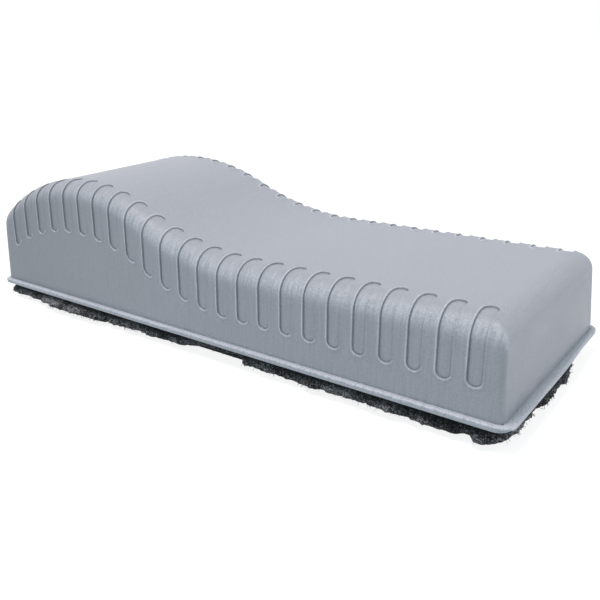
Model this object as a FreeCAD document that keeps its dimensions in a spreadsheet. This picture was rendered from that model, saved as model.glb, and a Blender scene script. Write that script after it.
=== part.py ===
"""Chalkboard eraser: a wave-topped moulded handle on a felt pad (FreeCAD 1.1, millimetres).

Frame: +Z up, the wiping face of the felt lies on z = 0, the long side runs along X with the
hump toward -X, and the origin is the middle of the wiping face.
"""
import FreeCAD
import Part
import Sketcher
import math
import os

Vector = FreeCAD.Vector

doc = FreeCAD.newDocument("ChalkboardEraser")


# ---------------------------------------------------------------- driving sizes

SIZES = (
    ("overall_length", 145.0, "flange, end to end"),
    ("overall_width", 51.5, "flange, side to side"),
    ("flange_overhang", 1.1, "from the foot of the wall out to the flange's edge"),
    ("flange_thickness", 0.65, "of the shell's own flange"),
    ("flange_corner", 2.6, "plan radius of the flange's corners"),
    ("flange_rounding", 0.4, "on the flange's upper edge"),
    ("seam_rounding", 0.12, "on both edges of the seam between shell and base plate"),
    ("wall_draft", 3.5, "lean of all four walls, degrees"),
    ("wall_thickness", 2.0, "of the moulded shell"),
    ("crest_height", 29.55, "top of the hump above the shell's underside"),
    ("crest_inset", 33.8, "from the flange's high end in to the top of the hump"),
    ("crest_radius", 53.0, "of the hump"),
    ("dip_radius", 70.0, "of the hollow between the hump and the flat"),
    ("tail_height", 18.0, "flat part of the top above the shell's underside"),
    ("shoulder_radius", 4.5, "on the long top edges"),
    ("tail_roll", 4.5, "on the top edge of the low end"),
    ("nose_roll", 4.5, "on the top edge of the high end"),
    ("upright_radius", 1.2, "on the four upright corners"),
    ("plug_corner", 1.0, "plan radius of the plug's corners"),
    ("slot_count", 24, "grip slots along each long side"),
    ("slot_pitch", 5.65, "from slot to slot"),
    ("slot_offset", 0.82, "of the row's middle from the middle of the eraser"),
    ("slot_width", 2.8, "of a grip slot"),
    ("slot_depth", 0.4, "of a grip slot"),
    ("slot_drop", 12.2, "from the top down to the foot of a slot"),
    ("slot_reach", 6.85, "from the flange's edge in to the middle of the slot's upper end"),
    ("rib_count", 5, "cross ribs inside the shell"),
    ("rib_pitch", 24.0, "from cross rib to cross rib"),
    ("rib_thickness", 1.2, "of every rib"),
    ("plate_lip", 0.5, "thickness of the base plate's edge"),
    ("plug_height", 1.5, "of the raised part that plugs into the shell"),
    ("plug_clearance", 0.2, "between the plug and the shell, all round"),
    ("bead_radius", 0.6, "of the snap beads on the plug"),
    ("bead_length", 12.0, "of a snap bead"),
    ("bead_spacing", 45.0, "from bead to bead along a long side"),
    ("bead_clearance", 0.1, "between a bead and its groove"),
    ("glue_thickness", 0.25, "of the adhesive film"),
    ("glue_margin", 1.5, "from the felt's edge in to the film's edge"),
    ("felt_thickness", 4.0, "of the pad"),
    ("felt_inset", 1.0, "from the flange's edge in to the felt's edge"),
    ("felt_corner", 2.5, "plan radius of the pad's corners"),
    ("felt_edge", 0.8, "rounding of the pad's wiping edge"),
)

sheet = doc.addObject("Spreadsheet::Sheet", "Sizes")
for row, (alias, value, note) in enumerate(SIZES, start=1):
    sheet.set("A%d" % row, alias)
    sheet.set("B%d" % row, str(value))
    sheet.set("C%d" % row, note)
    sheet.setAlias("B%d" % row, alias)
doc.recompute()


def size(alias):
    """Value of one cell of the sheet, by its alias."""
    return float(sheet.get(alias))


def bind(thing, path, expression):
    """Tie one property of an object to an expression of sheet cells."""
    thing.setExpression(path, expression)


# ---------------------------------------------------------------- shared expressions

WALL_LENGTH = "(Sizes.overall_length - 2 * Sizes.flange_overhang)"
WALL_WIDTH = "(Sizes.overall_width - 2 * Sizes.flange_overhang)"
PLUG_INSET = "(Sizes.wall_thickness + Sizes.plug_clearance)"
PLATE_LEVEL = "(Sizes.felt_thickness + Sizes.glue_thickness)"
SHELL_LEVEL = "(Sizes.felt_thickness + Sizes.glue_thickness + Sizes.plate_lip)"
FELT_LENGTH = "(Sizes.overall_length - 2 * Sizes.felt_inset)"
FELT_WIDTH = "(Sizes.overall_width - 2 * Sizes.felt_inset)"
CREST_SETBACK = "(Sizes.overall_length / 2 - Sizes.crest_inset)"

half_length = size("overall_length") / 2
half_width = size("overall_width") / 2
crest_x = size("crest_inset") - half_length  # where the top of the hump stands
headroom = 10.0  # how far cutting tools reach past what they cut
end_room = 3.0  # how far the wave's outline reaches past both ends
clear_of_all = half_length + end_room
level_slack = 0.01  # how near a level an edge lies to count as on it


# ---------------------------------------------------------------- sketch helpers

def origin_plane(body, role):
    """One of the body's own origin planes."""
    for feature in body.Origin.OriginFeatures:
        if feature.Role == role:
            return feature
    raise ValueError(role)


def sketch_on(body, role, name, lift="0"):
    """A new sketch on one of the body's origin planes, lifted along its normal."""
    sketch = body.newObject("Sketcher::SketchObject", name)
    sketch.AttachmentSupport = [(origin_plane(body, role), "")]
    sketch.MapMode = "FlatFace"
    bind(sketch, "AttachmentOffset.Base.z", lift)
    return sketch


def hold(sketch, kind, *where, name=None, expression=None):
    """Add one constraint, and tie its value to the sheet if an expression is given."""
    index = sketch.addConstraint(Sketcher.Constraint(kind, *where))
    if name:
        sketch.renameConstraint(index, name)
        bind(sketch, "Constraints." + name, expression)


def draw_rectangle(sketch, length, width):
    """Sharp rectangle centred on the sketch's origin; length and width are expressions."""
    x, y = half_length, half_width
    corners = (Vector(-x, -y, 0), Vector(x, -y, 0), Vector(x, y, 0), Vector(-x, y, 0))
    for index in range(4):
        sketch.addGeometry(Part.LineSegment(corners[index], corners[(index + 1) % 4]), False)
    for index in range(4):
        hold(sketch, "Coincident", index, 2, (index + 1) % 4, 1)
    for index in (0, 2):
        hold(sketch, "Horizontal", index)
    for index in (1, 3):
        hold(sketch, "Vertical", index)
    hold(sketch, "Symmetric", 0, 1, 2, 1, -1, 1)
    hold(sketch, "DistanceX", 0, 1, 0, 2, 2 * x, name="Length", expression=length)
    hold(sketch, "DistanceY", 1, 1, 1, 2, 2 * y, name="Width", expression=width)


def pad(body, sketch, length, name, taper=None):
    """Pad a sketch upward by an expression, leaning inward by taper degrees."""
    feature = body.newObject("PartDesign::Pad", name)
    feature.Profile = sketch
    bind(feature, "Length", length)
    if taper:
        bind(feature, "TaperAngle", taper)
    return feature


def edges_where(shape, test):
    """Names of the edges whose bounding box passes a test."""
    return ["Edge%d" % (i + 1) for i, edge in enumerate(shape.Edges) if test(edge.BoundBox)]


def round_edges(body, base, test, radius, name):
    """PartDesign fillet on the edges of the base feature that pass a test."""
    doc.recompute()
    feature = body.newObject("PartDesign::Fillet", name)
    feature.Base = (base, edges_where(base.Shape, test))
    bind(feature, "Radius", radius)
    return feature


def is_upright(box):
    """True for an edge that rises more than it runs, such as a corner of the walls."""
    return box.ZLength > box.XLength + box.YLength


def slab(label, length, width, corner, thickness):
    """Body holding a flat slab with rounded corners; all four sizes are expressions."""
    body = doc.addObject("PartDesign::Body", label)
    outline = sketch_on(body, "XY_Plane", label + "_outline")
    draw_rectangle(outline, length, width)
    plate = pad(body, outline, thickness, label + "_pad")
    corners = round_edges(body, plate, is_upright, corner, label + "_corners")
    doc.recompute()
    return body, corners


def outer_edge_at(level):
    """Test for the edges that lie at one level."""
    return lambda box: box.ZLength < level_slack and abs(box.ZMin - level) < level_slack


# ---------------------------------------------------------------- the wave of the top

def wave_height(x):
    """Height of the shell's top above its underside at x."""
    dip_x, dip_z, crest_z, joint_x = wave_centres()
    if x < joint_x:
        return crest_z + math.sqrt(size("crest_radius") ** 2 - (x - crest_x) ** 2)
    if x < dip_x:
        return dip_z - math.sqrt(size("dip_radius") ** 2 - (x - dip_x) ** 2)
    return size("tail_height")


def wave_centres():
    """Centre of the dip's arc, height of the crest arc's centre, and x where the arcs meet."""
    crest_z = size("crest_height") - size("crest_radius")
    dip_z = size("tail_height") + size("dip_radius")
    both = size("crest_radius") + size("dip_radius")
    dip_x = crest_x + math.sqrt(both ** 2 - (dip_z - crest_z) ** 2)
    joint_x = crest_x + size("crest_radius") / both * (dip_x - crest_x)
    return dip_x, dip_z, crest_z, joint_x


def draw_above_wave(sketch, inset):
    """Closed outline of what lies above the wave, moved inward by inset (an alias or None)."""
    moved = size(inset) if inset else 0.0
    less = " - Sizes." + inset if inset else ""
    more = " + Sizes." + inset if inset else ""
    dip_x, dip_z, crest_z, joint_x = wave_centres()
    crest_r = size("crest_radius") - moved
    dip_r = size("dip_radius") + moved
    joint_angle = math.atan2(dip_z - crest_z, dip_x - crest_x)
    left_angle = math.acos((-clear_of_all - crest_x) / crest_r)
    low = size("tail_height") - moved
    left = Vector(crest_x + crest_r * math.cos(left_angle), crest_z + crest_r * math.sin(left_angle), 0)
    roof = size("crest_height") + headroom
    up = Vector(0, 0, 1)
    crest = Part.Circle(Vector(crest_x, crest_z, 0), up, crest_r)
    dip = Part.Circle(Vector(dip_x, dip_z, 0), up, dip_r)
    sketch.addGeometry(Part.ArcOfCircle(crest, joint_angle, left_angle), False)
    sketch.addGeometry(Part.ArcOfCircle(dip, joint_angle + math.pi, 1.5 * math.pi), False)
    sketch.addGeometry(Part.LineSegment(Vector(dip_x, low, 0), Vector(clear_of_all, low, 0)), False)
    sketch.addGeometry(Part.LineSegment(Vector(clear_of_all, low, 0), Vector(clear_of_all, roof, 0)), False)
    sketch.addGeometry(Part.LineSegment(Vector(clear_of_all, roof, 0), Vector(left.x, roof, 0)), False)
    sketch.addGeometry(Part.LineSegment(Vector(left.x, roof, 0), left), False)
    hold(sketch, "Tangent", 0, 1, 1, 1)
    hold(sketch, "Tangent", 1, 2, 2, 1)
    hold(sketch, "Coincident", 2, 2, 3, 1)
    hold(sketch, "Coincident", 3, 2, 4, 1)
    hold(sketch, "Coincident", 4, 2, 5, 1)
    hold(sketch, "Coincident", 5, 2, 0, 2)
    for index in (2, 4):
        hold(sketch, "Horizontal", index)
    for index in (3, 5):
        hold(sketch, "Vertical", index)
    hold(sketch, "Radius", 0, crest_r, name="Crest", expression="Sizes.crest_radius" + less)
    hold(sketch, "Radius", 1, dip_r, name="Dip", expression="Sizes.dip_radius" + more)
    hold(sketch, "DistanceX", 0, 3, -1, 1, -crest_x, name="Setback", expression=CREST_SETBACK)
    hold(sketch, "DistanceY", -1, 1, 0, 3, crest_z, name="Sunk",
         expression="Sizes.crest_height - Sizes.crest_radius")
    hold(sketch, "DistanceY", -1, 1, 2, 1, low, name="Tail", expression="Sizes.tail_height" + less)
    hold(sketch, "DistanceX", -1, 1, 3, 1, clear_of_all)
    hold(sketch, "DistanceX", 5, 1, -1, 1, -left.x)
    hold(sketch, "DistanceY", -1, 1, 4, 1, roof)


# ---------------------------------------------------------------- the handle's block

def is_long_top(box):
    """True for a piece of one of the two long top edges."""
    return box.ZMin > level_slack and box.YLength < box.XLength


def is_end_top(box):
    """True for the top edge of one end wall."""
    return box.ZMin > level_slack and box.XLength < level_slack and abs(box.XMin) > half_width


def wave_block(label, inset=None, upright=None):
    """The handle as a solid block with rounded edges, its skin moved inward by the size inset."""
    moved = " - 2 * Sizes.%s / cos(Sizes.wall_draft)" % inset if inset else ""
    block = doc.addObject("PartDesign::Body", label + "_block")
    foot = sketch_on(block, "XY_Plane", label + "_foot")
    draw_rectangle(foot, WALL_LENGTH + moved, WALL_WIDTH + moved)
    pad(block, foot, "Sizes.crest_height + %g" % headroom, label + "_pad", taper="-Sizes.wall_draft")
    above = sketch_on(block, "XZ_Plane", label + "_above")
    draw_above_wave(above, inset)
    top_cut = block.newObject("PartDesign::Pocket", label + "_top_cut")
    top_cut.Profile = above
    top_cut.Type = "ThroughAll"
    top_cut.Midplane = True
    doc.recompute()
    rounded = doc.addObject("Part::Fillet", label)
    rounded.Base = block
    moved_by = size(inset) if inset else 0.0
    shoulder = size("shoulder_radius") - moved_by
    tail = size("tail_roll") - moved_by
    nose = size("nose_roll") - moved_by
    plan = []
    for index, edge in enumerate(block.Shape.Edges, start=1):
        box = edge.BoundBox
        if is_upright(box):
            if upright:
                plan.append((index, upright, upright))
        elif is_long_top(box):
            plan.append((index, shoulder, shoulder))
        elif is_end_top(box) and box.XMin > 0:
            plan.append((index, tail, tail))
        elif is_end_top(box) and box.XMax < 0:
            plan.append((index, nose, nose))
    rounded.Edges = plan
    doc.recompute()
    return rounded


# ---------------------------------------------------------------- handle shell

outside = wave_block("outside", upright=size("upright_radius"))
slot_floor = wave_block("slot_floor", inset="slot_depth")
hollow = wave_block("hollow", inset="wall_thickness")

flange, flange_corners = slab("flange", "Sizes.overall_length", "Sizes.overall_width",
                              "Sizes.flange_corner", "Sizes.flange_thickness")
flange_top = round_edges(flange, flange_corners, outer_edge_at(size("flange_thickness")),
                         "Sizes.flange_rounding", "flange_top")
round_edges(flange, flange_top, outer_edge_at(0.0), "Sizes.seam_rounding", "flange_seam")


def box_between(one, other):
    """Box with two opposite corners given."""
    low = Vector(min(one.x, other.x), min(one.y, other.y), min(one.z, other.z))
    return Part.makeBox(abs(one.x - other.x), abs(one.y - other.y), abs(one.z - other.z), low)


def obround_slot(x, foot, side):
    """Solid that cuts one grip slot: up the wall from foot and in over the shoulder to slot_reach."""
    half = size("slot_width") / 2
    end = side * (half_width - size("slot_reach"))
    inner = end - side * size("slot_width")
    outer = side * (half_width + headroom)
    roof = size("crest_height") + headroom
    rise = box_between(Vector(x - half, inner, foot), Vector(x + half, outer, roof))
    foot_round = Part.makeCylinder(half, abs(outer - inner), Vector(x, inner, foot), Vector(0, side, 0))
    run = box_between(Vector(x - half, end, 0), Vector(x + half, outer, roof))
    end_round = Part.makeCylinder(half, roof, Vector(x, end, 0), Vector(0, 0, 1))
    return rise.fuse(foot_round).common(run.fuse(end_round)).removeSplitter()


def slot_cutters():
    """One solid for each grip slot, both sides."""
    solids = []
    for index in range(int(size("slot_count"))):
        x = size("slot_offset") + (index - (size("slot_count") - 1) / 2) * size("slot_pitch")
        foot = wave_height(x) - size("slot_drop") + size("slot_width") / 2
        for side in (-1, 1):
            solids.append(obround_slot(x, foot, side))
    return solids


slots = doc.addObject("Part::Feature", "slots")
slots.Shape = Part.makeCompound(slot_cutters()).cut(slot_floor.Shape)

cross_ribs = []
for index in range(int(size("rib_count"))):
    rib = doc.addObject("Part::Box", "cross_rib_%d" % (index + 1))
    bind(rib, "Length", "Sizes.rib_thickness")
    bind(rib, "Width", "Sizes.overall_width")
    bind(rib, "Height", "Sizes.crest_height")
    middle = "(%d - (Sizes.rib_count - 1) / 2) * Sizes.rib_pitch" % index
    bind(rib, "Placement.Base.x", middle + " - Sizes.rib_thickness / 2")
    bind(rib, "Placement.Base.y", "-Sizes.overall_width / 2")
    bind(rib, "Placement.Base.z", "Sizes.plug_height")
    cross_ribs.append(rib)
long_rib = doc.addObject("Part::Box", "long_rib")
bind(long_rib, "Length", "Sizes.overall_length")
bind(long_rib, "Width", "Sizes.rib_thickness")
bind(long_rib, "Height", "Sizes.crest_height")
bind(long_rib, "Placement.Base.x", "-Sizes.overall_length / 2")
bind(long_rib, "Placement.Base.y", "-Sizes.rib_thickness / 2")
bind(long_rib, "Placement.Base.z", "Sizes.plug_height")


def fuse(label, things):
    """Union of several objects of the document."""
    union = doc.addObject("Part::MultiFuse", label)
    union.Shapes = things
    return union


def cut(label, base, tool):
    """Base with the tool taken out of it."""
    result = doc.addObject("Part::Cut", label)
    result.Base = base
    result.Tool = tool
    return result


def snap_beads(label, extra, level):
    """Round bars along X where the plug snaps into the shell: three on each long side."""
    bars = []
    for side in (-1, 1):
        for index in (-1, 0, 1):
            bar = doc.addObject("Part::Cylinder", "%s_%d" % (label, len(bars) + 1))
            bind(bar, "Radius", "Sizes.bead_radius" + extra)
            bind(bar, "Height", "Sizes.bead_length" + extra + extra)
            bar.Placement.Rotation = FreeCAD.Rotation(Vector(0, 1, 0), 90)
            start = "%d * Sizes.bead_spacing - Sizes.bead_length / 2" % index
            bind(bar, "Placement.Base.x", start + extra.replace("+", "-"))
            wall = "(%s / 2 - %s / cos(Sizes.wall_draft))" % (WALL_WIDTH, PLUG_INSET)
            bind(bar, "Placement.Base.y", "%d * %s" % (side, wall))
            bind(bar, "Placement.Base.z", level)
            bars.append(bar)
    return fuse(label, bars)


ribs = fuse("ribs", cross_ribs + [long_rib])
chambers = cut("chambers", hollow, ribs)
grooves = snap_beads("grooves", " + Sizes.bead_clearance", "Sizes.plug_height / 2")
inside = fuse("inside", [chambers, grooves])
skin = fuse("skin", [outside, flange])
opened = cut("opened", skin, inside)
handle_shell = cut("handle_shell", opened, slots)
bind(handle_shell, "Placement.Base.z", SHELL_LEVEL)


# ---------------------------------------------------------------- base plate

plate, plate_corners = slab("plate", "Sizes.overall_length", "Sizes.overall_width",
                            "Sizes.flange_corner", "Sizes.plate_lip")
plate_seam = round_edges(plate, plate_corners, outer_edge_at(size("plate_lip")),
                         "Sizes.seam_rounding", "plate_seam")
plug_foot = sketch_on(plate, "XY_Plane", "plug_foot", "Sizes.plate_lip")
plug_shrink = " - 2 * %s / cos(Sizes.wall_draft)" % PLUG_INSET
draw_rectangle(plug_foot, WALL_LENGTH + plug_shrink, WALL_WIDTH + plug_shrink)
plug = pad(plate, plug_foot, "Sizes.plug_height", "plug", taper="-Sizes.wall_draft")
round_edges(plate, plug, lambda box: is_upright(box) and box.ZMin > size("plate_lip") / 2,
            "Sizes.plug_corner", "plug_corners")
beads = snap_beads("beads", "", "Sizes.plate_lip + Sizes.plug_height / 2")
base_plate = fuse("base_plate", [plate, beads])
bind(base_plate, "Placement.Base.z", PLATE_LEVEL)


# ---------------------------------------------------------------- adhesive and felt

adhesive_film, film_corners = slab("adhesive_film", FELT_LENGTH + " - 2 * Sizes.glue_margin",
                                   FELT_WIDTH + " - 2 * Sizes.glue_margin",
                                   "Sizes.felt_corner - Sizes.glue_margin", "Sizes.glue_thickness")
bind(adhesive_film, "Placement.Base.z", "Sizes.felt_thickness")

felt_pad, felt_corners = slab("felt_pad", FELT_LENGTH, FELT_WIDTH,
                              "Sizes.felt_corner", "Sizes.felt_thickness")
round_edges(felt_pad, felt_corners, outer_edge_at(0.0), "Sizes.felt_edge", "felt_edge")


# ---------------------------------------------------------------- checks and export

doc.recompute()
for thing in doc.Objects:
    if "Invalid" in thing.State or "Error" in thing.State:
        raise RuntimeError("%s is %s" % (thing.Name, thing.State))

SUB_PARTS = (handle_shell, base_plate, adhesive_film, felt_pad)
os.makedirs("parts", exist_ok=True)
for thing in SUB_PARTS:
    shape = thing.Shape
    if shape.isNull() or not shape.isValid() or len(shape.Solids) != 1:
        raise RuntimeError("%s has no valid single solid" % thing.Label)
    shape.exportStep("parts/%s.step" % thing.Label)
    box = shape.BoundBox
    print("%-14s %9.1f mm3  x %.2f..%.2f  y %.2f..%.2f  z %.2f..%.2f" % (
        thing.Label, shape.Volume, box.XMin, box.XMax, box.YMin, box.YMax, box.ZMin, box.ZMax))
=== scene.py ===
"""Looks of a chalkboard eraser: a wave-topped moulded handle on a pad of black felt.

Sizes are in millimetres and become metres only when a mesh is handed over. +X runs along
the eraser towards its low end, -Y is the front and the felt's wiping face lies on z = 0.
"""

import logging
import math
import random
from dataclasses import dataclass
from enum import Enum
from typing import Callable

import bmesh
import bpy
from bmesh.types import BMEdge, BMesh, BMVert
from bpy.types import Material, Mesh, Node, NodeSocket, NodeTree, Object, World
from mathutils import Matrix, Vector, noise


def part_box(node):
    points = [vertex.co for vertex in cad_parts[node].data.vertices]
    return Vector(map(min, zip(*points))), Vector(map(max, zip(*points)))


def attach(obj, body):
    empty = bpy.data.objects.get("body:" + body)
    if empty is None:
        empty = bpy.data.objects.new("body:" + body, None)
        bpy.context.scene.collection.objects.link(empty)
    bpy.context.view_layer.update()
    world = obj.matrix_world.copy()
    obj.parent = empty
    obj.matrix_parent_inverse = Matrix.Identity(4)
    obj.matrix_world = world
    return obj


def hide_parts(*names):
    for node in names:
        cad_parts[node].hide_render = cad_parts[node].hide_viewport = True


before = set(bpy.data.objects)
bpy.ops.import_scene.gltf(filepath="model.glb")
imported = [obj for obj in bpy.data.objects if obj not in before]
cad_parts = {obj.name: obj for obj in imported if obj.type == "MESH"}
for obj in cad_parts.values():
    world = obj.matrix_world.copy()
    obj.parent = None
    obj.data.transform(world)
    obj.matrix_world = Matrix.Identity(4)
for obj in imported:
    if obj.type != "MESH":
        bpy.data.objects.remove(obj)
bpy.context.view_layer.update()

logging.basicConfig(level=logging.INFO, format="%(message)s")
log = logging.getLogger("eraser")

MM = 0.001
TINY = 1e-4
Pair = tuple[float, float]
Triple = tuple[float, float, float]
Four = tuple[float, float, float, float]
# A mix node's sockets share their names, so they go by number.
PLAIN_A, PLAIN_B = 2, 3
COLOUR_A, COLOUR_B, COLOUR_OUT = 6, 7, 2


# -------- small helpers

def linear(code: str) -> Four:
    """Turn an sRGB hex colour into the linear colour that shader sockets take.

    Args:
        code: six hex digits after a hash sign.

    Returns:
        Linear red, green and blue, and an alpha of 1.
    """
    parts = [int(code[i:i + 2], 16) / 255 for i in (1, 3, 5)]
    red, green, blue = (p / 12.92 if p <= 0.04045 else ((p + 0.055) / 1.055) ** 2.4 for p in parts)
    return red, green, blue, 1.0


def ramp(value: float, low: float, high: float) -> float:
    """Smooth step of a value, 0 up to low and 1 from high on."""
    share = min(1.0, max(0.0, (value - low) / (high - low)))
    return share * share * (3 - 2 * share)


def hill(value: float, start: float, full: float, fade: float, end: float) -> float:
    """Smooth rise from start to full and fall from fade to end: 1 between, 0 outside."""
    return ramp(value, start, full) * (1 - ramp(value, fade, end))


def add_node(tree: NodeTree, kind: str, links: dict[str | int, object] | None = None,
             **settings: object) -> Node:
    """Add one shader node, set it up and link what feeds it.

    Args:
        tree: node tree that gets the node.
        kind: Blender's name of the node type.
        links: name or number of an input, to the output that feeds it, a node whose first
            output does, or a constant.
        settings: plain properties of the node.

    Returns:
        The new node.
    """
    node = tree.nodes.new(kind)
    for name, value in settings.items():
        setattr(node, name, value)
    for socket, source in (links or {}).items():
        source = source.outputs[0] if isinstance(source, Node) else source
        if isinstance(source, NodeSocket):
            tree.links.new(source, node.inputs[socket])
        else:
            node.inputs[socket].default_value = source
    return node


def fresh_tree(owner: Material | World) -> NodeTree:
    """Switch on the shader nodes of a material or a world and clear them away.

    Args:
        owner: the material or world.

    Returns:
        Its empty node tree.
    """
    owner.use_nodes = True
    owner.node_tree.nodes.clear()
    return owner.node_tree


def straight_rays(tree: NodeTree) -> NodeSocket:
    """Tell what is seen directly, mirrored or through glass from what only lights the object.

    Args:
        tree: node tree that the nodes go into.

    Returns:
        A socket that is 1 for camera, glossy and transmission rays and 0 for the rest.
    """
    rays = add_node(tree, "ShaderNodeLightPath").outputs
    pair = add_node(tree, "ShaderNodeMath", {
        0: rays["Is Camera Ray"], 1: rays["Is Glossy Ray"]}, operation="MAXIMUM")
    return add_node(tree, "ShaderNodeMath", {
        0: pair, 1: rays["Is Transmission Ray"]}, operation="MAXIMUM").outputs[0]


def hand_over(bm: BMesh, name: str, smooth: bool = True) -> Object:
    """Turn a bmesh in millimetres into an object in metres that sits at the origin.

    Args:
        bm: finished mesh, freed here.
        name: name of the piece.
        smooth: whether its faces are shaded smooth.

    Returns:
        The new object.
    """
    bmesh.ops.scale(bm, vec=(MM, MM, MM), verts=bm.verts)
    for face in bm.faces:
        face.smooth = smooth
    mesh = bpy.data.meshes.new(name)
    bm.to_mesh(mesh)
    bm.free()
    piece = bpy.data.objects.new(name, mesh)
    bpy.context.scene.collection.objects.link(piece)
    return piece


def lay_grid(bm: BMesh, across: int, along: int, place: Callable[[int, int], Vector],
             painted_light: Callable[[int, int], float] | None = None) -> None:
    """Lay a grid and move each of its points where a rule puts it.

    Args:
        bm: mesh that gets the grid.
        across: number of points in the first direction.
        along: number of points in the second direction.
        place: gives the place of a point from its two numbers.
        painted_light: gives the point's painted light, a painted highlight above 0 and painted
            shade below, kept in the mesh as an attribute of that name.
    """
    if painted_light:
        layer = bm.verts.layers.float.get("painted_light") or bm.verts.layers.float.new("painted_light")
    made = bmesh.ops.create_grid(bm, x_segments=across - 1, y_segments=along - 1, size=1.0)["verts"]
    for vert in made:
        i = round((vert.co.x + 1) / 2 * (across - 1))
        j = round((vert.co.y + 1) / 2 * (along - 1))
        vert.co = place(i, j)
        if painted_light:
            vert[layer] = painted_light(i, j)


def pull_edges(bm: BMesh, edges: list[BMEdge]) -> tuple[list[BMVert], list[BMEdge]]:
    """Extrude a ring of open edges, ready to be moved.

    Args:
        bm: mesh that holds them.
        edges: the open edges.

    Returns:
        The new points and the new open edges.
    """
    made = bmesh.ops.extrude_edge_only(bm, edges=edges)["geom"]
    fresh = [part for part in made if isinstance(part, BMVert)]
    return fresh, [part for part in made if isinstance(part, BMEdge) and part.is_boundary]


def round_corner(x: float, y: float, half_x: float, half_y: float, radius: float) -> Pair:
    """Bring a point near a corner of a rectangle onto the rounded corner.

    Args:
        x: the point's place along the rectangle.
        y: the point's place across it.
        half_x: half the rectangle's length.
        half_y: half its width.
        radius: radius of the rounded corner.

    Returns:
        The moved point, or the same point if it isn't near a corner.
    """
    dx, dy = abs(x) - (half_x - radius), abs(y) - (half_y - radius)
    if radius <= 0 or dx <= 0 or dy <= 0:
        return x, y
    share = radius / math.hypot(dx, dy)
    return (math.copysign(half_x - radius + dx * share, x),
            math.copysign(half_y - radius + dy * share, y))


# -------- finishes

class Finish(Enum):
    """The finishes of the new pieces, by the names of their slots in the record."""

    HANDLE = "handle_plastic"
    FELT = "felt"


def finish_piece(piece: Object, finish: Finish, material: Material) -> None:
    """Give a new piece its finish and tie it to the eraser.

    Args:
        piece: the finished piece.
        finish: not used.
        material: its material.
    """
    piece.data.materials.append(material)
    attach(piece, "root")


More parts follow.
